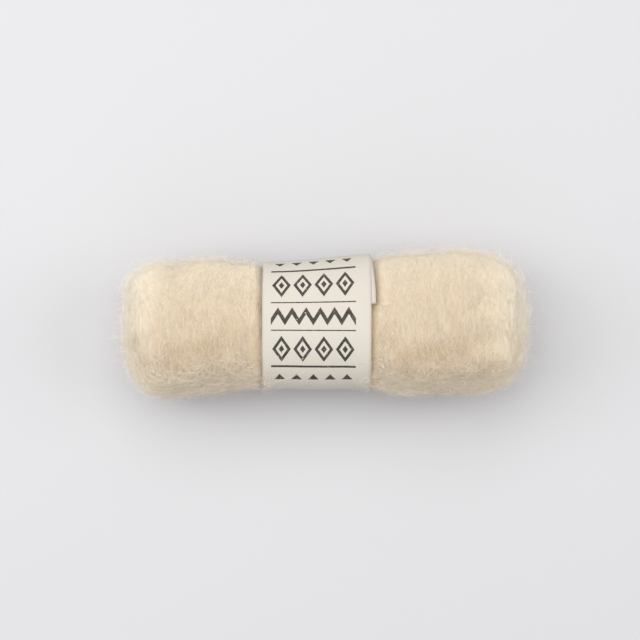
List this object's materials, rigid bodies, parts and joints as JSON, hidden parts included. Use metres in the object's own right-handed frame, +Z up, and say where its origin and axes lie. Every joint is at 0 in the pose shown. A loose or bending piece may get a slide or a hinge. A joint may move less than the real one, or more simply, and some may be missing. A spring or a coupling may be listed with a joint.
{
  "type": "rolled carded wool batt in a paper band",
  "caption": "Short roll of soft carded wool lying on its side, drawn in at the middle by a wide paper band that holds it rolled.",
  "frame": {"origin": "on the surface that the roll lies on, under the middle of its bounding box", "axes": "+X along the roll, towards its fatter end; +Y across it, away from the batt's lap edge; +Z up"},
  "size_m": [0.1946, 0.074, 0.058],
  "materials": {
    "carded_wool": "undyed cream carded wool, matt and fuzzy, with loose fibres standing off the surface",
    "band_paper": "matt off-white paper with a near-black border pattern of plain rules and lozenges"
  },
  "bodies": {
    "root": {"wool_roll": "carded_wool", "paper_band": "band_paper"}
  },
  "joints": []
}
